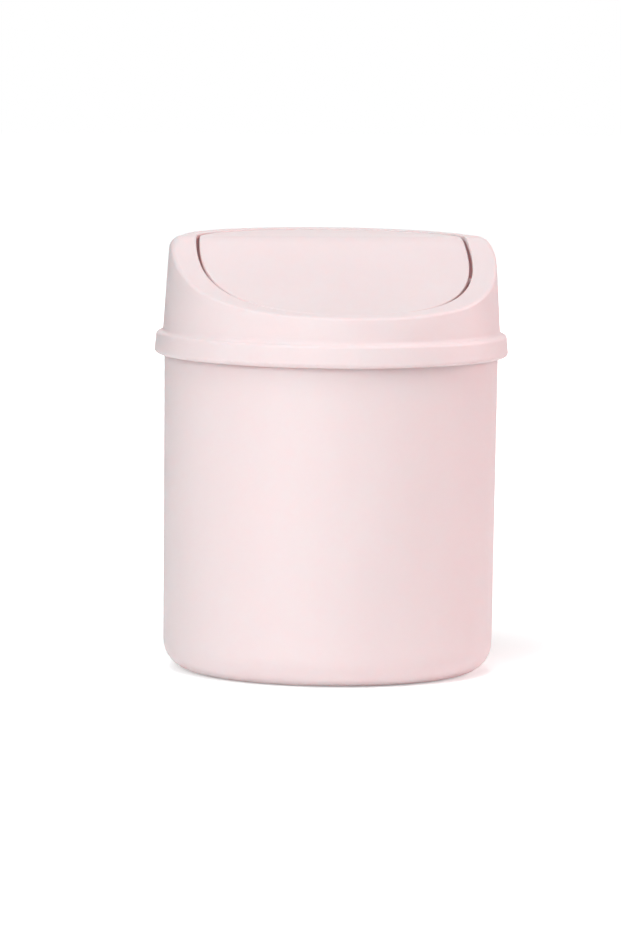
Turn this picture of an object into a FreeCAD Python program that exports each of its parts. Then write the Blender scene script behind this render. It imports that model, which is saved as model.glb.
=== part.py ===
"""Desktop swing-lid bin: a moulded bucket, a lid frame that caps it, and a flap that swings in the frame.

Millimetres. +Z is up, the origin is the centre of the foot on the table, and -Y is the front.
The lid is level at the back and scooped at the front, and the flap follows the same surface.
"""

import FreeCAD, Part
import math
import os

from FreeCAD import Vector

# Bucket
bucket_height = 125.1
bucket_mouth_diameter = 124.9
bucket_draft = 0.4
bucket_wall = 1.5
bucket_floor = 1.8
bucket_foot_rounding = 11.0
foot_ring_width = 3.0
foot_recess = 1.2
gate_dimple_diameter = 6.0
gate_dimple_depth = 0.5
mouth_bead_reach = 1.35
mouth_bead_height = 2.6

# Collar of the lid frame, which caps the mouth of the bucket
collar_height = 8.6
collar_web = 2.0
collar_skirt = 2.1
collar_draft = 5.5
collar_shoulder_drop = 0.7
collar_top_rounding = 1.2
collar_foot_rounding = 1.5
collar_neck_rounding = 1.5
plug_ring_wall = 1.4
plug_ring_depth = 5.7
mouth_clearance = 0.35

# Wall and top of the lid frame above the collar
lid_rise = 37.4
lid_wall = 1.6
lid_wall_inset = 3.15
lid_wall_draft = 3.8
rim_rounding_front = 1.3
rim_rounding_back = 7.0
rim_turn_front = -4.0
rim_turn_back = 14.0

# Scoop: a hollow that climbs from the front rim to a rounded ridge, then the level back
scoop_depth = 25.8
scoop_start_slope = 6.4
ridge_place = 7.0
ridge_rounding = 11.0

# Opening in the top and the flap that fills it
opening_place = -4.7
top_band = 9.2
opening_edge_rounding = 0.5
flap_gap = 1.2
flap_recess = 0.4
flap_thickness = 1.6
flap_edge_rounding = 0.5
flap_ring_inset = 3.8
flap_rib_width = 1.4
flap_rib_depth = 3.0

# Ledge at the back of the opening that stops the flap when it swings shut
ledge_reach = 3.6
ledge_thickness = 1.6
ledge_clearance = 0.3
ledge_setback = 9.5

# Pivot of the flap
pivot_setback = 10.0
pivot_depth = 4.8
pin_diameter = 3.0
pin_clearance = 0.05
pin_overhang = 0.8
lug_thickness = 2.6
lug_radius = 3.2
lug_setback = 1.6
bracket_thickness = 3.0
bracket_radius = 4.2
bracket_setback = 0.6
snap_slot_width = 2.3

# Rounding of small moulded edges and corners
edge_rounding = 0.6
corner_rounding = 0.2

# How far cutting shapes reach past what they cut, and how deep joined shapes sink into each other
cut_margin = 10.0
sink = 0.2

# Places that follow from the sizes
mouth_radius = bucket_mouth_diameter / 2
bead_radius = mouth_radius + mouth_bead_reach
collar_radius = bead_radius + mouth_clearance + collar_skirt
collar_top = bucket_height + collar_web
collar_foot = collar_top - collar_height
overall_height = bucket_height + lid_rise
above_lid = overall_height + cut_margin
below_lid = collar_foot - cut_margin
beyond_lid = collar_radius + cut_margin


def lean(degrees):
    """Sideways travel per unit of height on a face that leans by this angle."""
    return math.tan(math.radians(degrees))


def bucket_radius(height):
    """Outer radius of the bucket's drafted wall at this height."""
    return mouth_radius - (bucket_height - height) * lean(bucket_draft)


def lid_wall_radius(height):
    """Outer radius of the lid's drafted wall at this height."""
    return collar_radius - lid_wall_inset - (height - collar_top) * lean(lid_wall_draft)


opening_radius = lid_wall_radius(overall_height) - top_band
flap_radius = opening_radius - flap_gap
pivot_place = opening_place - pivot_setback


def scoop_arcs():
    """Centre and radius of the hollow arc, and centre of the ridge arc tangent to it, in the YZ plane.

    The hollow arc leaves the front rim at its starting slope. The ridge arc ends level with the back.
    """
    angle = math.radians(scoop_start_slope)
    rim_height = overall_height - scoop_depth
    rim = Vector(0, -lid_wall_radius(rim_height), rim_height)
    normal = Vector(0, -math.sin(angle), math.cos(angle))
    ridge = Vector(0, ridge_place, overall_height - ridge_rounding)
    span = rim - ridge
    radius = (span.dot(span) - ridge_rounding ** 2) / (2 * (ridge_rounding - span.dot(normal)))
    return rim + normal * radius, radius, ridge


hollow_centre, hollow_radius, ridge_centre = scoop_arcs()


def scoop_height(place, depth=0.0):
    """Height of the hollow arc at this place along Y, or of the parallel arc at some depth under it."""
    return hollow_centre.z - math.sqrt((hollow_radius + depth) ** 2 - (place - hollow_centre.y) ** 2)


pivot_height = scoop_height(pivot_place) - pivot_depth


def rounded_outline(corners):
    """Closed face in the XZ plane from (x, z, rounding) corners, each rounded by a tangent arc."""
    arrive, leave, middle = [], [], []
    count = len(corners)
    for i, (x, z, rounding) in enumerate(corners):
        here = Vector(x, 0, z)
        before = corners[i - 1]
        after = corners[(i + 1) % count]
        back = (Vector(before[0], 0, before[1]) - here).normalize()
        ahead = (Vector(after[0], 0, after[1]) - here).normalize()
        half = back.getAngle(ahead) / 2
        setback = rounding / math.tan(half)
        arrive.append(here + back * setback)
        leave.append(here + ahead * setback)
        middle.append(here + (back + ahead).normalize() * (rounding / math.sin(half) - rounding))
    edges = []
    for i in range(count):
        if corners[i][2] > 0:
            edges.append(Part.Arc(arrive[i], middle[i], leave[i]).toShape())
        edges.append(Part.LineSegment(leave[i], arrive[(i + 1) % count]).toShape())
    return Part.Face(Part.Wire(edges))


def turned(corners, start=0, end=360):
    """Solid turned about the Z axis from (radius, z, rounding) corners, between two angles from +X."""
    outline = rounded_outline(corners)
    outline.rotate(Vector(0, 0, 0), Vector(0, 0, 1), start)
    return outline.revolve(Vector(0, 0, 0), Vector(0, 0, 1), end - start)


def mirrored(shape):
    """The shape's mirror image across the YZ plane."""
    return shape.mirror(Vector(0, 0, 0), Vector(1, 0, 0))


def block(low, high):
    """Box between two opposite corners."""
    size = Vector(*high) - Vector(*low)
    return Part.makeBox(size.x, size.y, size.z, Vector(*low))


def disc(radius):
    """Upright cylinder about the middle of the opening that passes right through the lid."""
    return Part.makeCylinder(radius, above_lid - below_lid, Vector(0, opening_place, below_lid))


def rod(radius, start, end):
    """Cylinder on the flap's pivot axis between two places along X."""
    return Part.makeCylinder(radius, end - start, Vector(start, pivot_place, pivot_height), Vector(1, 0, 0))


def tab(radius, start, end):
    """Plate that hangs from above the lid down to the pivot axis, round at its lower end."""
    low = (start, pivot_place - radius, pivot_height)
    high = (end, pivot_place + radius, above_lid)
    return rod(radius, start, end).fuse(block(low, high))


def arc(centre, radius, start, end):
    """Arc of less than half a turn about a centre, between two points on it."""
    towards = (start - centre).normalize() + (end - centre).normalize()
    return Part.Arc(start, centre + towards.normalize() * radius, end).toShape()


def under_top(depth):
    """Everything deeper than this under the top surface of the lid, as a prism along X.

    Its faces are parted at the two places where the rounding of the rim starts and stops growing.
    """
    wide = hollow_radius + depth
    tight = ridge_rounding - depth
    towards = (hollow_centre - ridge_centre).normalize()
    start = Vector(0, -beyond_lid, scoop_height(-beyond_lid, depth))
    join = ridge_centre + towards * tight
    level = ridge_centre + Vector(0, 0, tight)
    turn_front = Vector(0, rim_turn_front, scoop_height(rim_turn_front, depth))
    turn_back = Vector(0, rim_turn_back, level.z)
    back_top = Vector(0, beyond_lid, level.z)
    back_foot = Vector(0, beyond_lid, below_lid - cut_margin)
    front_foot = Vector(0, -beyond_lid, below_lid - cut_margin)
    edges = [
        arc(hollow_centre, wide, start, turn_front),
        arc(hollow_centre, wide, turn_front, join),
        arc(ridge_centre, tight, join, level),
    ]
    corners = [level, turn_back, back_top, back_foot, front_foot, start]
    for first, second in zip(corners, corners[1:]):
        edges.append(Part.LineSegment(first, second).toShape())
    face = Part.Face(Part.Wire(edges))
    face.translate(Vector(-beyond_lid, 0, 0))
    return face.extrude(Vector(2 * beyond_lid, 0, 0))


def is_upright(face, radius):
    """Whether a face is part of an upright cylinder of this radius."""
    surface = face.Surface
    if not isinstance(surface, Part.Cylinder):
        return False
    return surface.Axis.isParallel(Vector(0, 0, 1), 1e-6) and math.isclose(surface.Radius, radius)


def round_top_edge(solid, radius, rounding):
    """Round the edge where an upright cylinder of this radius meets the top of the lid."""
    edges = []
    for edge in solid.Edges:
        faces = solid.ancestorsOfType(edge, Part.Face)
        upright = [face for face in faces if is_upright(face, radius)]
        if len(upright) == 1 and len(faces) == 2 and edge.BoundBox.ZMin > collar_top:
            edges.append(edge)
    return solid.makeFillet(rounding, edges)


def rim_edges(half):
    """Edges where the drafted wall of a half block meets its top, from the front to the back."""
    found = []
    for edge in half.Edges:
        kinds = [type(face.Surface) for face in half.ancestorsOfType(edge, Part.Face)]
        meets_top = Part.Cone in kinds and (Part.Cylinder in kinds or Part.Plane in kinds)
        if meets_top and edge.BoundBox.XMax > sink and edge.BoundBox.ZMin > collar_top:
            found.append(edge)
    return sorted(found, key=lambda edge: edge.BoundBox.YMin)


def round_rim(half, front_rounding, back_rounding):
    """Round the rim of a half block: evenly at the front and at the back, growing steadily in between."""
    rim = rim_edges(half)
    growing = sum(edge.Length for edge in rim[1:-1])
    laws = [(front_rounding, front_rounding)]
    for edge in rim[1:-1]:
        start = laws[-1][1]
        laws.append((start, start + (back_rounding - front_rounding) * edge.Length / growing))
    laws.append((back_rounding, back_rounding))
    numbers = [[other.isSame(edge) for other in half.Edges].index(True) + 1 for edge in rim]
    document = FreeCAD.newDocument()
    block_feature = document.addObject("Part::Feature")
    block_feature.Shape = half
    fillet = document.addObject("Part::Fillet")
    fillet.Base = block_feature
    fillet.Edges = [(number, start, end) for number, (start, end) in zip(numbers, laws)]
    document.recompute()
    rounded = fillet.Shape.copy()
    FreeCAD.closeDocument(document.Name)
    return rounded


def topped(corners, depth, front_rounding, back_rounding):
    """Turned block cut off under the top surface, its rim rounded less at the front than at the back."""
    half = turned(corners, -90, 90).common(under_top(depth)).Solids[0]
    half = round_rim(half, front_rounding, back_rounding)
    return half.fuse(mirrored(half)).removeSplitter()


def make_bucket():
    bead_foot = bucket_height - mouth_bead_height
    bead_start = bead_foot - mouth_bead_reach
    foot_radius = bucket_radius(0.0)
    ring_inner = foot_radius - bucket_foot_rounding - foot_ring_width
    inside_floor = foot_recess + bucket_floor
    dimple_radius = gate_dimple_diameter / 2
    dimple_roof = foot_recess + gate_dimple_depth
    corners = [
        (0.0, dimple_roof, 0.0),
        (dimple_radius, dimple_roof, corner_rounding),
        (dimple_radius, foot_recess, corner_rounding),
        (ring_inner - foot_recess, foot_recess, edge_rounding),
        (ring_inner, 0.0, edge_rounding),
        (foot_radius, 0.0, bucket_foot_rounding),
        (bucket_radius(bead_start), bead_start, edge_rounding),
        (bead_radius, bead_foot, edge_rounding),
        (bead_radius, bucket_height, edge_rounding),
        (mouth_radius - bucket_wall, bucket_height, edge_rounding),
        (bucket_radius(inside_floor) - bucket_wall, inside_floor, bucket_foot_rounding - bucket_wall),
        (0.0, inside_floor, 0.0),
    ]
    return turned(corners)


def lid_outside():
    """Outer form of the lid frame as one lump."""
    shoulder = collar_top - collar_shoulder_drop
    collar_lean = (shoulder - collar_foot) * lean(collar_draft)
    corners = [
        (0.0, collar_foot, 0.0),
        (collar_radius, collar_foot, collar_foot_rounding),
        (collar_radius - collar_lean, shoulder, collar_top_rounding),
        (lid_wall_radius(collar_top), collar_top, collar_neck_rounding),
        (lid_wall_radius(above_lid), above_lid, 0.0),
        (0.0, above_lid, 0.0),
    ]
    return topped(corners, 0.0, rim_rounding_front, rim_rounding_back)


def lid_inside():
    """Room inside the lid frame: the groove for the mouth of the bucket and the hollow under the top."""
    groove_outer = bead_radius + mouth_clearance
    plug_outer = mouth_radius - bucket_wall - mouth_clearance
    plug_inner = plug_outer - plug_ring_wall
    plug_foot = bucket_height - plug_ring_depth
    corners = [
        (0.0, below_lid, 0.0),
        (groove_outer, below_lid, 0.0),
        (groove_outer, bucket_height, corner_rounding),
        (plug_outer, bucket_height, corner_rounding),
        (plug_outer, plug_foot, edge_rounding),
        (plug_inner, plug_foot, edge_rounding),
        (plug_inner, collar_top, edge_rounding),
        (lid_wall_radius(collar_top) - lid_wall, collar_top, edge_rounding),
        (lid_wall_radius(above_lid) - lid_wall, above_lid, 0.0),
        (0.0, above_lid, 0.0),
    ]
    return topped(corners, lid_wall, corner_rounding, rim_rounding_back - lid_wall)


bracket_start = opening_radius + bracket_setback
bracket_end = bracket_start + bracket_thickness


def snap_bore():
    """Bore for the right-hand pin, with the narrower slot below it that the pin snaps through."""
    start = bracket_start - cut_margin
    end = bracket_end + sink
    low = (start, pivot_place - snap_slot_width / 2, pivot_height - bracket_radius - sink)
    high = (end, pivot_place + snap_slot_width / 2, pivot_height)
    return rod(pin_diameter / 2 + pin_clearance, start, end).fuse(block(low, high))


def ledge():
    """Arc at the back of the opening, under the edge of the shut flap and clear of the ridge."""
    top = overall_height - flap_recess - flap_thickness - ledge_clearance
    foot = top - ledge_thickness
    inner = opening_radius - ledge_reach
    outer = opening_radius + ledge_thickness
    hanger_top = overall_height - lid_wall + sink
    corners = [
        (inner, foot, edge_rounding),
        (outer, foot, edge_rounding),
        (outer, hanger_top, 0.0),
        (opening_radius, hanger_top, 0.0),
        (opening_radius, top, 0.0),
        (inner, top, edge_rounding),
    ]
    start = math.degrees(math.asin((ridge_place + ledge_setback - opening_place) / inner))
    return turned(corners, start, 180 - start).translated(Vector(0, opening_place, 0))


def make_lid():
    lump = lid_outside().cut(disc(opening_radius))
    lump = round_top_edge(lump, opening_radius, opening_edge_rounding)
    shell = lump.cut(lid_inside())
    bracket = tab(bracket_radius, bracket_start, bracket_end).common(under_top(lid_wall - sink))
    bore = snap_bore()
    shell = shell.fuse([bracket, mirrored(bracket), ledge()])
    return shell.cut([bore, mirrored(bore)]).removeSplitter()


def lug():
    """Right-hand lug under the flap, with the stub pin that turns in the bracket."""
    end = math.sqrt(flap_radius ** 2 - pivot_setback ** 2) - lug_setback
    plate = tab(lug_radius, end - lug_thickness, end).common(under_top(flap_recess + flap_thickness - sink))
    return plate.fuse(rod(pin_diameter / 2, end - sink, bracket_end + pin_overhang))


def flap_ribs():
    """Stiffening ring and cross rib on the underside of the flap."""
    outer = flap_radius - flap_ring_inset
    inner = outer - flap_rib_width
    low = (-inner, pivot_place - flap_rib_width / 2, below_lid)
    high = (inner, pivot_place + flap_rib_width / 2, above_lid)
    under_face = flap_recess + flap_thickness
    sheet = under_top(under_face - sink).cut(under_top(under_face + flap_rib_depth))
    return disc(outer).cut(disc(inner)).fuse(block(low, high)).common(sheet)


def make_flap():
    plug = disc(flap_radius).common(under_top(flap_recess)).Solids[0]
    plug = round_top_edge(plug, flap_radius, flap_edge_rounding)
    plate = plug.cut(under_top(flap_recess + flap_thickness))
    return plate.fuse([flap_ribs(), lug(), mirrored(lug())]).removeSplitter()


def save(shape, name):
    """Write one piece, which has to be one sound solid, as a STEP file."""
    if len(shape.Solids) != 1 or not shape.isValid():
        raise ValueError(name + " is not one sound solid")
    shape.Solids[0].exportStep(os.path.join("parts", name + ".step"))


os.makedirs("parts", exist_ok=True)
save(make_bucket(), "bin_body")
save(make_lid(), "lid_frame")
save(make_flap(), "swing_flap")
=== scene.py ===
# %% [markdown]
# # Desktop trash can
#
# A small round bin for a desk, moulded in pale pink polypropylene. It has three pieces: a bucket, a lid
# that caps the mouth of the bucket, and a round flap that swings in the lid. The CAD model gives all
# three their place and their size, so this lesson starts from it and looks after what the eye sees:
# smooth turned forms, the plastic, soft light and the camera.

import math

import bmesh
import bpy
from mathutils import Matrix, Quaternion, Vector


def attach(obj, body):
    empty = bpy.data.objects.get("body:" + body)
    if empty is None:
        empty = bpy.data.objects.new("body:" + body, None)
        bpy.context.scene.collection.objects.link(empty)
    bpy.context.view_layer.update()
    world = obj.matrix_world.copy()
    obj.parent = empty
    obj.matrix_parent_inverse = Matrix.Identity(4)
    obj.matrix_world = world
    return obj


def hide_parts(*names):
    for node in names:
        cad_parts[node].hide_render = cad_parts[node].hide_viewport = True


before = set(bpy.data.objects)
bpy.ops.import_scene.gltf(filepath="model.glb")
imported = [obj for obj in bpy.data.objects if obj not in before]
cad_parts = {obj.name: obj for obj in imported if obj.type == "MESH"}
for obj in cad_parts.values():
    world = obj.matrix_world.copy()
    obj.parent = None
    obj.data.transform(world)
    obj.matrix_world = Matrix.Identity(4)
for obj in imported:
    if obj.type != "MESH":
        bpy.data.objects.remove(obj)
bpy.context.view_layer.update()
scene = bpy.context.scene

# %% [markdown]
# ## A helper for node trees
#
# Materials and Geometry Nodes are both trees of nodes. A tree could be drawn by hand in Blender's
# editor, but then it can't be read here. One small function is enough to write a tree as text: it adds
# a node, gives it its settings, and fills each input either with a plain value or with a link from an
# earlier node.

# %% Add a node


def add_node(tree, kind, inputs=None, **settings):
    """Add a node to a tree, with its settings, and with a value or a link for each named input."""
    node = tree.nodes.new(kind)
    for name, value in settings.items():
        setattr(node, name, value)
    for name, value in (inputs or {}).items():
        if isinstance(value, bpy.types.NodeSocket):
            tree.links.new(value, node.inputs[name])
        else:
            node.inputs[name].default_value = value
    return node


def linear(hex_colour):
    """Linear colour with alpha 1 from an sRGB hex value such as 'EFD6D7'."""
    levels = [int(hex_colour[i:i + 2], 16) / 255 for i in (0, 2, 4)]
    return [v / 12.92 if v <= 0.04045 else ((v + 0.055) / 1.055) ** 2.4 for v in levels] + [1.0]


MM = 0.001
CM3 = 1e-6
pale_pink = "EFD6D7"
print("pale pink in linear light", [round(v, 3) for v in linear(pale_pink)])

# %% [markdown]
# ## The plastic: moulded satin polypropylene
#
# Polypropylene is cloudy rather than opaque, so light enters it and comes out again a millimetre or two
# away, a little warmer. That is why the shadow under the collar looks rose and not grey. The mould is
# spark-eroded, which leaves a fine even grain and a satin gloss. The pigment comes as coloured pellets
# that never mix quite evenly, which leaves faint cloudy bands along the way the melt ran.
#
# An image texture would need a picture and a UV map. Noise in Object coordinates needs neither, and its
# scale can be worked out from sizes in millimetres.

# %% Polypropylene


def per_metre(size_mm):
    """Noise scale that gives features of about this size, for Object coordinates in metres."""
    return 1.0 / (size_mm * MM)


def satin_polypropylene(name, colour, cloud_colour, flow_stretch):
    """Pale moulded polypropylene with cloudy pigment, uneven satin gloss and a fine spark-eroded grain."""
    material = bpy.data.materials.new(name)
    material.use_nodes = True
    tree = material.node_tree
    tree.nodes.clear()
    place = add_node(tree, "ShaderNodeTexCoord").outputs["Object"]

    # Pigment bands some 30 mm wide, drawn out along the way the melt ran
    along_flow = add_node(tree, "ShaderNodeMapping", {"Vector": place, "Scale": flow_stretch})
    cloud = add_node(tree, "ShaderNodeTexNoise", {
        "Vector": along_flow.outputs["Vector"], "Scale": per_metre(30.0), "Detail": 3.0, "Roughness": 0.5})
    cloud_share = add_node(tree, "ShaderNodeMapRange", {
        "Value": cloud.outputs["Fac"], "From Min": 0.35, "From Max": 0.65})
    pigment = add_node(tree, "ShaderNodeMix", {
        "Factor": cloud_share.outputs["Result"], "A": linear(colour), "B": linear(cloud_colour)},
        data_type="RGBA")

    # Satin gloss that differs a little from patch to patch, each some 4 mm wide
    patches = add_node(tree, "ShaderNodeTexNoise", {
        "Vector": place, "Scale": per_metre(4.0), "Detail": 2.0})
    gloss = add_node(tree, "ShaderNodeMapRange", {
        "Value": patches.outputs["Fac"], "From Min": 0.3, "From Max": 0.7, "To Min": 0.36, "To Max": 0.44})

    # Spark-eroded grain: 0.1 mm on the real bin, drawn 0.6 mm wide so that it shows in the render
    grain = add_node(tree, "ShaderNodeTexNoise", {"Vector": place, "Scale": per_metre(0.6), "Detail": 1.0})
    relief = add_node(tree, "ShaderNodeBump", {
        "Height": grain.outputs["Fac"], "Strength": 0.06, "Distance": 0.1 * MM})

    # Red light travels furthest in the pink plastic, which warms the edges of a shadow
    plastic = add_node(tree, "ShaderNodeBsdfPrincipled", {
        "Base Color": pigment.outputs["Result"], "Roughness": gloss.outputs["Result"],
        "Normal": relief.outputs["Normal"], "IOR": 1.49, "Subsurface Weight": 0.5,
        "Subsurface Radius": (1.0, 0.5, 0.45), "Subsurface Scale": 1.5 * MM})
    add_node(tree, "ShaderNodeOutputMaterial", {"Surface": plastic.outputs["BSDF"]})
    return material


cloud_pink = "EED4D5"
# The melt ran up the bucket, up the lid and across the flap
bucket_plastic = satin_polypropylene("polypropylene_bucket", pale_pink, cloud_pink, (1.0, 1.0, 0.35))
lid_plastic = satin_polypropylene("polypropylene_lid", pale_pink, cloud_pink, (1.0, 1.0, 0.6))
flap_plastic = satin_polypropylene("polypropylene_flap", pale_pink, cloud_pink, (0.6, 1.0, 1.0))
print("materials", [m.name for m in (bucket_plastic, lid_plastic, flap_plastic)])

# %% [markdown]
# ## The bucket
#
# The bucket is one turned shell: a drafted wall, a rounded foot, a floor that is raised inside a foot
# ring, a small dimple where the plastic was injected, and a bead round the mouth that stiffens it. It
# could be a copy of the CAD mesh, but a turned form follows a rule, so Geometry Nodes can make it from
# its sizes: an outline of corners, each rounded by its own radius, swept round the axis.

# %% Sizes of the bucket
bucket_sizes = {
    "Height": 125.1 * MM,
    "Mouth Radius": 62.45 * MM,
    "Wall Lean": math.tan(math.radians(0.4)),
    "Wall": 1.5 * MM,
    "Floor": 1.8 * MM,
    "Foot Rounding": 11.0 * MM,
    "Foot Ring Width": 3.0 * MM,
    "Foot Recess": 1.2 * MM,
    "Dimple Radius": 3.0 * MM,
    "Dimple Depth": 0.5 * MM,
    "Bead Reach": 1.35 * MM,
    "Bead Height": 2.6 * MM,
    "Edge Rounding": 0.6 * MM,
    "Corner Rounding": 0.2 * MM,
    "Helper Spacing": 1.5 * MM,
}
bucket_counts = {"Steps Round": 160, "Steps In Each Rounding": 9}

turning = bpy.data.node_groups.new("turned_bucket", "GeometryNodeTree")
for name, value in bucket_sizes.items():
    turning.interface.new_socket(name, in_out="INPUT", socket_type="NodeSocketFloat").default_value = value
for name, value in bucket_counts.items():
    turning.interface.new_socket(name, in_out="INPUT", socket_type="NodeSocketInt").default_value = value
turning.interface.new_socket("Plastic", in_out="INPUT", socket_type="NodeSocketMaterial")
turning.interface.new_socket("Bucket", in_out="OUTPUT", socket_type="NodeSocketGeometry")
given = add_node(turning, "NodeGroupInput").outputs
print("the tree of the bucket has", len(turning.interface.items_tree), "sockets")

# %% [markdown]
# The corners of the outline follow from those sizes by a little arithmetic, one Math node for each line
# of a table. A formula in Python would be shorter, but then the tree could not be used again with other
# sizes.
#
# The outline also has a few helper corners with no rounding, close to where the long straight runs end.
# Smooth shading blends the directions of neighbouring faces, and the helpers keep that blend out of the
# flat wall.

# %% Places that follow from the sizes
places = {name: given[name] for name in bucket_sizes}
places.update({"Axis": 0.0, "Ground": 0.0, "No Rounding": 0.0})

sums = [
    # new place, operation, terms
    ("Wall Drift", "MULTIPLY", "Height", "Wall Lean"),
    ("Foot Radius", "SUBTRACT", "Mouth Radius", "Wall Drift"),
    ("Ring Outside", "SUBTRACT", "Foot Radius", "Foot Rounding"),
    ("Ring Inside", "SUBTRACT", "Ring Outside", "Foot Ring Width"),
    ("Recess Edge", "SUBTRACT", "Ring Inside", "Foot Recess"),
    ("Dimple Roof", "ADD", "Foot Recess", "Dimple Depth"),
    ("Inside Floor", "ADD", "Foot Recess", "Floor"),
    ("Inside Rounding", "SUBTRACT", "Foot Rounding", "Wall"),
    ("Inside Foot", "SUBTRACT", "Foot Radius", "Wall"),
    ("Inside Mouth", "SUBTRACT", "Mouth Radius", "Wall"),
    ("Bead Radius", "ADD", "Mouth Radius", "Bead Reach"),
    ("Bead Foot", "SUBTRACT", "Height", "Bead Height"),
    ("Bead Start", "SUBTRACT", "Bead Foot", "Bead Reach"),
    ("Bead Start Radius", "MULTIPLY_ADD", "Bead Start", "Wall Lean", "Foot Radius"),
    ("Floor Radius", "MULTIPLY_ADD", "Inside Floor", "Wall Lean", "Inside Foot"),
    # helper corners
    ("Dimple Helper", "ADD", "Dimple Radius", "Helper Spacing"),
    ("Recess Helper", "SUBTRACT", "Recess Edge", "Helper Spacing"),
    ("Wall Low", "ADD", "Foot Rounding", "Helper Spacing"),
    ("Wall Low Radius", "MULTIPLY_ADD", "Wall Low", "Wall Lean", "Foot Radius"),
    ("Wall High", "SUBTRACT", "Bead Start", "Helper Spacing"),
    ("Wall High Radius", "MULTIPLY_ADD", "Wall High", "Wall Lean", "Foot Radius"),
    ("Inside High", "SUBTRACT", "Height", "Helper Spacing"),
    ("Inside High Radius", "MULTIPLY_ADD", "Inside High", "Wall Lean", "Inside Foot"),
    ("Inside Low", "ADD", "Inside Floor", "Foot Rounding"),
    ("Inside Low Radius", "MULTIPLY_ADD", "Inside Low", "Wall Lean", "Inside Foot"),
    ("Floor Helper", "SUBTRACT", "Ring Outside", "Helper Spacing"),
]
for name, operation, *terms in sums:
    inputs = {i: places[term] for i, term in enumerate(terms)}
    places[name] = add_node(turning, "ShaderNodeMath", inputs, operation=operation).outputs["Value"]
print("the tree of the bucket has", len(places), "named places")

# %% [markdown]
# The outline runs from the axis underneath, up the outside, over the mouth and down the inside. Index
# Switch nodes give each point of a plain line its corner and its rounding. A curve drawn by hand would
# be quicker to make, but its corners would not follow the sizes.

# %% Outline of the bucket
outline = [
    # radius, height, rounding, from the axis underneath, up the outside and down the inside
    ("Axis", "Dimple Roof", "No Rounding"),
    ("Dimple Radius", "Dimple Roof", "Corner Rounding"),
    ("Dimple Radius", "Foot Recess", "Corner Rounding"),
    ("Dimple Helper", "Foot Recess", "No Rounding"),
    ("Recess Helper", "Foot Recess", "No Rounding"),
    ("Recess Edge", "Foot Recess", "Edge Rounding"),
    ("Ring Inside", "Ground", "Edge Rounding"),
    ("Foot Radius", "Ground", "Foot Rounding"),
    ("Wall Low Radius", "Wall Low", "No Rounding"),
    ("Wall High Radius", "Wall High", "No Rounding"),
    ("Bead Start Radius", "Bead Start", "Edge Rounding"),
    ("Bead Radius", "Bead Foot", "Edge Rounding"),
    ("Bead Radius", "Height", "Edge Rounding"),
    ("Inside Mouth", "Height", "Edge Rounding"),
    ("Inside High Radius", "Inside High", "No Rounding"),
    ("Inside Low Radius", "Inside Low", "No Rounding"),
    ("Floor Radius", "Inside Floor", "Inside Rounding"),
    ("Floor Helper", "Inside Floor", "No Rounding"),
    ("Axis", "Inside Floor", "No Rounding"),
]
number = add_node(turning, "GeometryNodeInputIndex").outputs["Index"]
corner = add_node(turning, "GeometryNodeIndexSwitch", {"Index": number}, data_type="VECTOR")
rounding = add_node(turning, "GeometryNodeIndexSwitch", {"Index": number}, data_type="FLOAT")
for switch in (corner, rounding):
    while len(switch.index_switch_items) < len(outline):
        switch.index_switch_items.new()
for i, (radius, height, bend) in enumerate(outline):
    point = add_node(turning, "ShaderNodeCombineXYZ", {"X": places[radius], "Y": places[height]})
    turning.links.new(point.outputs["Vector"], corner.inputs[str(i)])
    if bend != "No Rounding":
        turning.links.new(places[bend], rounding.inputs[str(i)])
print("the outline of the bucket has", len(outline), "corners")

# %% [markdown]
# A profile that is swept along a circle of no real width turns about the circle's axis, and what meets
# on the axis is merged, so the floor closes without a hole. Curve to Mesh lays the profile's Y axis
# downwards along the circle's axis, so the outline is turned over first.

# %% Turn the outline round the axis
hardly_any_width = 0.001 * MM
merging_distance = 0.01 * MM
upside_down = add_node(turning, "ShaderNodeVectorMath", {
    0: corner.outputs["Output"], 1: (1.0, -1.0, 1.0)}, operation="MULTIPLY")
line = add_node(turning, "GeometryNodeMeshLine", {"Count": len(outline)})
bent = add_node(turning, "GeometryNodeSetPosition", {
    "Geometry": line.outputs["Mesh"], "Position": upside_down.outputs["Vector"]})
curve = add_node(turning, "GeometryNodeMeshToCurve", {"Mesh": bent.outputs["Geometry"]})
rounded = add_node(turning, "GeometryNodeFilletCurve", {
    "Curve": curve.outputs["Curve"], "Count": given["Steps In Each Rounding"],
    "Radius": rounding.outputs["Output"]}, mode="POLY")
circle = add_node(turning, "GeometryNodeCurvePrimitiveCircle", {
    "Resolution": given["Steps Round"], "Radius": hardly_any_width})
turned = add_node(turning, "GeometryNodeCurveToMesh", {
    "Curve": circle.outputs["Curve"], "Profile Curve": rounded.outputs["Curve"]})
closed = add_node(turning, "GeometryNodeMergeByDistance", {
    "Geometry": turned.outputs["Mesh"], "Distance": merging_distance})
smooth = add_node(turning, "GeometryNodeSetShadeSmooth", {
    "Geometry": closed.outputs["Geometry"], "Shade Smooth": True})
solid = add_node(turning, "GeometryNodeRealizeInstances", {"Geometry": smooth.outputs["Geometry"]})
coloured = add_node(turning, "GeometryNodeSetMaterial", {
    "Geometry": solid.outputs["Geometry"], "Material": given["Plastic"]})
add_node(turning, "NodeGroupOutput", {"Bucket": coloured.outputs["Geometry"]})
print("the tree of the bucket has", len(turning.nodes), "nodes in all")

# %% [markdown]
# The bucket could keep its modifier, but other programs only read plain meshes. So the result of the
# tree becomes a mesh with its faces turned outwards, and a count of open edges shows whether the shell
# is closed. It then stands for the CAD bucket and moves with the same body.

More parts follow.
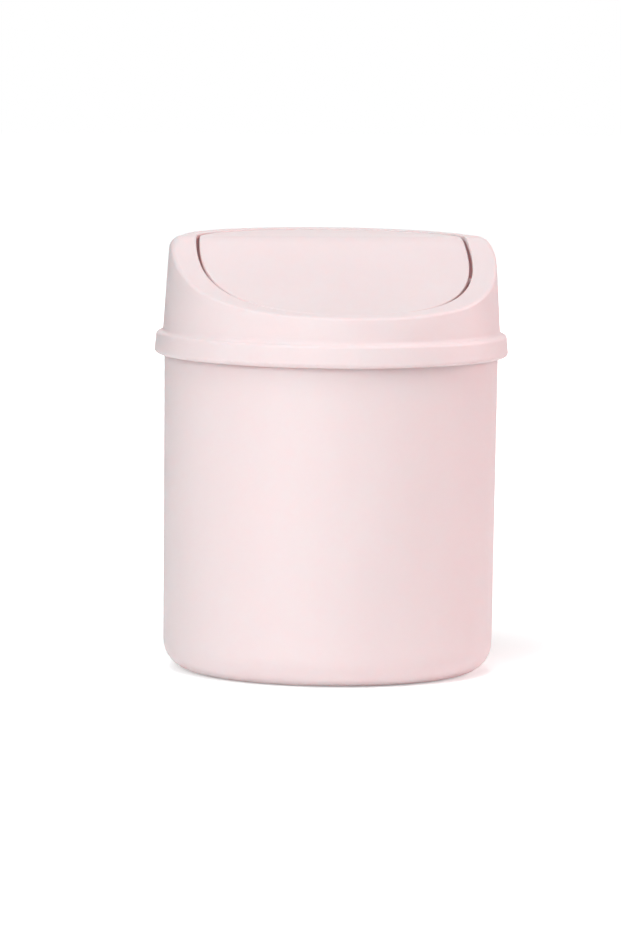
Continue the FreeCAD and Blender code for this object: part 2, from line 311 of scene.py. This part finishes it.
# %% Make the bucket a plain mesh
bucket = bpy.data.objects.new("bucket", bpy.data.meshes.new("bucket_start"))
scene.collection.objects.link(bucket)
modifier = bucket.modifiers.new("turned_bucket", "NODES")
modifier.node_group = turning
settings = {**bucket_sizes, **bucket_counts, "Plastic": bucket_plastic}
for socket in turning.interface.items_tree:
    if socket.in_out == "INPUT":
        modifier[socket.identifier] = settings[socket.name]
evaluated = bucket.evaluated_get(bpy.context.evaluated_depsgraph_get())
bucket_mesh = bpy.data.meshes.new_from_object(evaluated)
bucket.modifiers.remove(modifier)
bucket.data = bucket_mesh

shell = bmesh.new()
shell.from_mesh(bucket_mesh)
bmesh.ops.recalc_face_normals(shell, faces=shell.faces)
open_edges = sum(not edge.is_manifold for edge in shell.edges)
print("bucket", len(shell.faces), "faces,", open_edges, "open edges")
print("bucket holds", round(shell.calc_volume() / CM3, 1), "cm3 of plastic")
shell.to_mesh(bucket_mesh)
shell.free()

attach(bucket, "bin")
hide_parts("bin_body")
bpy.context.view_layer.update()
print("bucket measures", [round(side / MM, 2) for side in bucket.dimensions], "mm")

# %% [markdown]
# ## The lid and the flap
#
# The lid is scooped at the front and level at the back, and the flap follows the same surface, with
# brackets, pins and ribs underneath. Their edges are rounded by radii that change along the rim.
# Modelling that again in Blender would only copy the CAD model with less care, and the CAD meshes carry
# the true surface directions, so the two stay as they are. Only their plastic is new.

# %% Plastic for the lid and the flap
for node, plastic in (("lid_frame", lid_plastic), ("swing_flap", flap_plastic)):
    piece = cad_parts[node]
    piece.data.materials.clear()
    piece.data.materials.append(plastic)
    print(node, "in", plastic.name, "with", len(piece.data.polygons), "triangles")

# %% [markdown]
# ## Floor
#
# The bin stands on a plain white table. The table could be made white with more light, but that would
# bleach the bin as well. So it glows a little where the camera or a reflection looks at it, less near
# the bin and more far away, which lifts it to white and leaves the soft shadow at the foot of the bin.
# A fainter glow for all light stands in for the white walls that throw light back up.

# %% White table
table_half = 4.0
table_mesh = bpy.data.meshes.new("table")
table_mesh.from_pydata(
    [(-table_half, -table_half, 0), (table_half, -table_half, 0), (table_half, table_half, 0),
     (-table_half, table_half, 0)], [], [(0, 1, 2, 3)])
table = bpy.data.objects.new("table", table_mesh)
scene.collection.objects.link(table)

# The glow grows between these two distances from the bin's axis, in metres
near_bin, far_off = 0.12, 0.5
glow_near, glow_far = 0.3, 0.85
# Reflections see this share of it, and this much glow lights the bin from below
mirror_share = 0.2
thrown_up = 0.07

laminate = bpy.data.materials.new("white_laminate")
laminate.use_nodes = True
tree = laminate.node_tree
tree.nodes.clear()
place = add_node(tree, "ShaderNodeTexCoord").outputs["Object"]
distance = add_node(tree, "ShaderNodeVectorMath", {0: place}, operation="LENGTH")
glow = add_node(tree, "ShaderNodeMapRange", {
    "Value": distance.outputs["Value"], "From Min": near_bin, "From Max": far_off,
    "To Min": glow_near, "To Max": glow_far})
rays = add_node(tree, "ShaderNodeLightPath").outputs
mirrored = add_node(tree, "ShaderNodeMath", {
    0: rays["Is Glossy Ray"], 1: rays["Is Transmission Ray"]}, operation="MAXIMUM")
looked_at = add_node(tree, "ShaderNodeMath", {
    0: mirrored.outputs["Value"], 1: mirror_share, 2: rays["Is Camera Ray"]}, operation="MULTIPLY_ADD")
strength = add_node(tree, "ShaderNodeMath", {
    0: glow.outputs["Result"], 1: looked_at.outputs["Value"], 2: thrown_up}, operation="MULTIPLY_ADD")
white = add_node(tree, "ShaderNodeBsdfDiffuse", {"Color": linear("FAFAFA")})
shine = add_node(tree, "ShaderNodeEmission", {
    "Color": linear("FFFFFF"), "Strength": strength.outputs["Value"]})
both = add_node(tree, "ShaderNodeAddShader", {0: white.outputs["BSDF"], 1: shine.outputs["Emission"]})
add_node(tree, "ShaderNodeOutputMaterial", {"Surface": both.outputs["Shader"]})
table_mesh.materials.append(laminate)
print("table", 2 * table_half, "m wide")

# %% [markdown]
# ## Light
#
# The light is that of a photographer's tent: a large soft lamp from the left front, one from above, a
# card from the right, a weak lamp low behind, and white cloth all round. A single lamp would leave the
# right side of the bin dark, and an evenly white tent alone would leave it flat. All lamps are a metre
# wide and stand at the same distance, so their shadows are soft. The first two are a touch cool and the
# others a touch warm, as in the photograph. Only the card shows in reflections, because the level top
# would mirror the other lamps and clip to white.

# %% Lamps
lamp_width, lamp_distance = 1.0, 1.8
middle_of_bin = Vector((0.0, 0.0, 0.08))
lamps = [
    # name, degrees round from the front to the right, degrees up, watts, colour, shows in reflections
    ("key_lamp", -37.0, 26.0, 18.5, "ECFFFF", False),
    ("overhead_lamp", -18.0, 66.0, 18.8, "F1FFFF", False),
    ("side_card", 95.0, 20.0, 14.6, "FFE9EA", True),
    ("back_lamp", 180.0, 20.0, 6.5, "FFF4F4", False),
]
for name, round_degrees, up_degrees, power, colour, shows in lamps:
    turn = math.radians(round_degrees)
    climb = math.radians(up_degrees)
    outward = Vector((math.sin(turn) * math.cos(climb), -math.cos(turn) * math.cos(climb), math.sin(climb)))
    light = bpy.data.lights.new(name, "AREA")
    light.size = lamp_width
    light.energy = power
    light.color = linear(colour)[:3]
    lamp = bpy.data.objects.new(name, light)
    lamp.location = middle_of_bin + outward * lamp_distance
    lamp.rotation_euler = (-outward).to_track_quat("-Z", "Y").to_euler()
    lamp.visible_glossy = shows
    scene.collection.objects.link(lamp)
    print(name, power, "W")

# %% [markdown]
# Pale polypropylene this thin lets some light through, so the inside of the bin is never black, and the
# gap round the flap looks rose-brown. Following that light through the walls would take very many
# samples. A faint lamp inside the bucket stands in for it, and the pink walls give it its colour.

# %% Light that soaks through the walls
soaked = bpy.data.lights.new("soaked_light", "POINT")
soaked.energy = 0.026
soaked.shadow_soft_size = 30.0 * MM
inside = bpy.data.objects.new("soaked_light", soaked)
inside.location = middle_of_bin
inside.visible_camera = False
inside.visible_glossy = False
scene.collection.objects.link(inside)
print("light inside the bin", soaked.energy, "W")

# %% [markdown]
# The tent's cloth is white for the camera and for reflections. Behind the bin on the left it hangs
# open, which is how a photographer gives a pale bin a dark edge against a white background. For all
# other light the cloth only glows faintly, because the lamps already light the bin.

# %% White tent
ambient = 0.11
# The cloth hangs fully open within 45 degrees of this direction, and is closed beyond 68 degrees
open_side = Vector((-0.9, 0.42, 0.17)).normalized()
cloth_edge, open_edge = math.cos(math.radians(68)), math.cos(math.radians(45))

tent = bpy.data.worlds.new("white_tent")
scene.world = tent
tent.use_nodes = True
tree = tent.node_tree
tree.nodes.clear()
rays = add_node(tree, "ShaderNodeLightPath").outputs
direction = add_node(tree, "ShaderNodeTexCoord").outputs["Generated"]
side = add_node(tree, "ShaderNodeVectorMath", {0: direction, 1: open_side}, operation="DOT_PRODUCT")
cloth = add_node(tree, "ShaderNodeMapRange", {
    "Value": side.outputs["Value"], "From Min": cloth_edge, "From Max": open_edge,
    "To Min": 1.0, "To Max": 0.0})
mirrored = add_node(tree, "ShaderNodeMath", {
    0: rays["Is Glossy Ray"], 1: rays["Is Transmission Ray"]}, operation="MAXIMUM")
lit = add_node(tree, "ShaderNodeMapRange", {
    "Value": mirrored.outputs["Value"], "To Min": ambient, "To Max": 1.0})
hung = add_node(tree, "ShaderNodeMath", {
    0: lit.outputs["Result"], 1: cloth.outputs["Result"]}, operation="MULTIPLY")
level = add_node(tree, "ShaderNodeMath", {
    0: rays["Is Camera Ray"], 1: hung.outputs["Value"]}, operation="MAXIMUM")
white = add_node(tree, "ShaderNodeBackground", {
    "Color": linear("FFFFFF"), "Strength": level.outputs["Value"]})
add_node(tree, "ShaderNodeOutputWorld", {"Surface": white.outputs["Background"]})
scene.view_settings.view_transform = "Standard"
print("tent with ambient light", ambient)

# %% [markdown]
# ## Camera
#
# The photograph was taken from far away with a long lens, a little above the bin and a little to its
# left. The values come from fitting the collar, the rim and the outline of the bucket to it.

# %% Camera
azimuth = math.radians(-8.652)
pan = math.radians(0.169)
tilt = math.radians(5.726)
roll = math.radians(0.747)
# Metres from the bin's axis, metres above the table, and millimetres of lens
away = 2.44
eye_height = 0.3211
long_lens = 253.16
heading = azimuth + pan
towards = Vector((-math.sin(heading) * math.cos(tilt), math.cos(heading) * math.cos(tilt), -math.sin(tilt)))
camera = bpy.data.objects.new("camera", bpy.data.cameras.new("camera"))
camera.data.lens = long_lens
camera.location = (away * math.sin(azimuth), -away * math.cos(azimuth), eye_height)
camera.rotation_mode = "QUATERNION"
camera.rotation_quaternion = towards.to_track_quat("-Z", "Y") @ Quaternion((0, 0, 1), roll)
scene.collection.objects.link(camera)
scene.camera = camera
print("camera at", [round(v, 3) for v in camera.location])
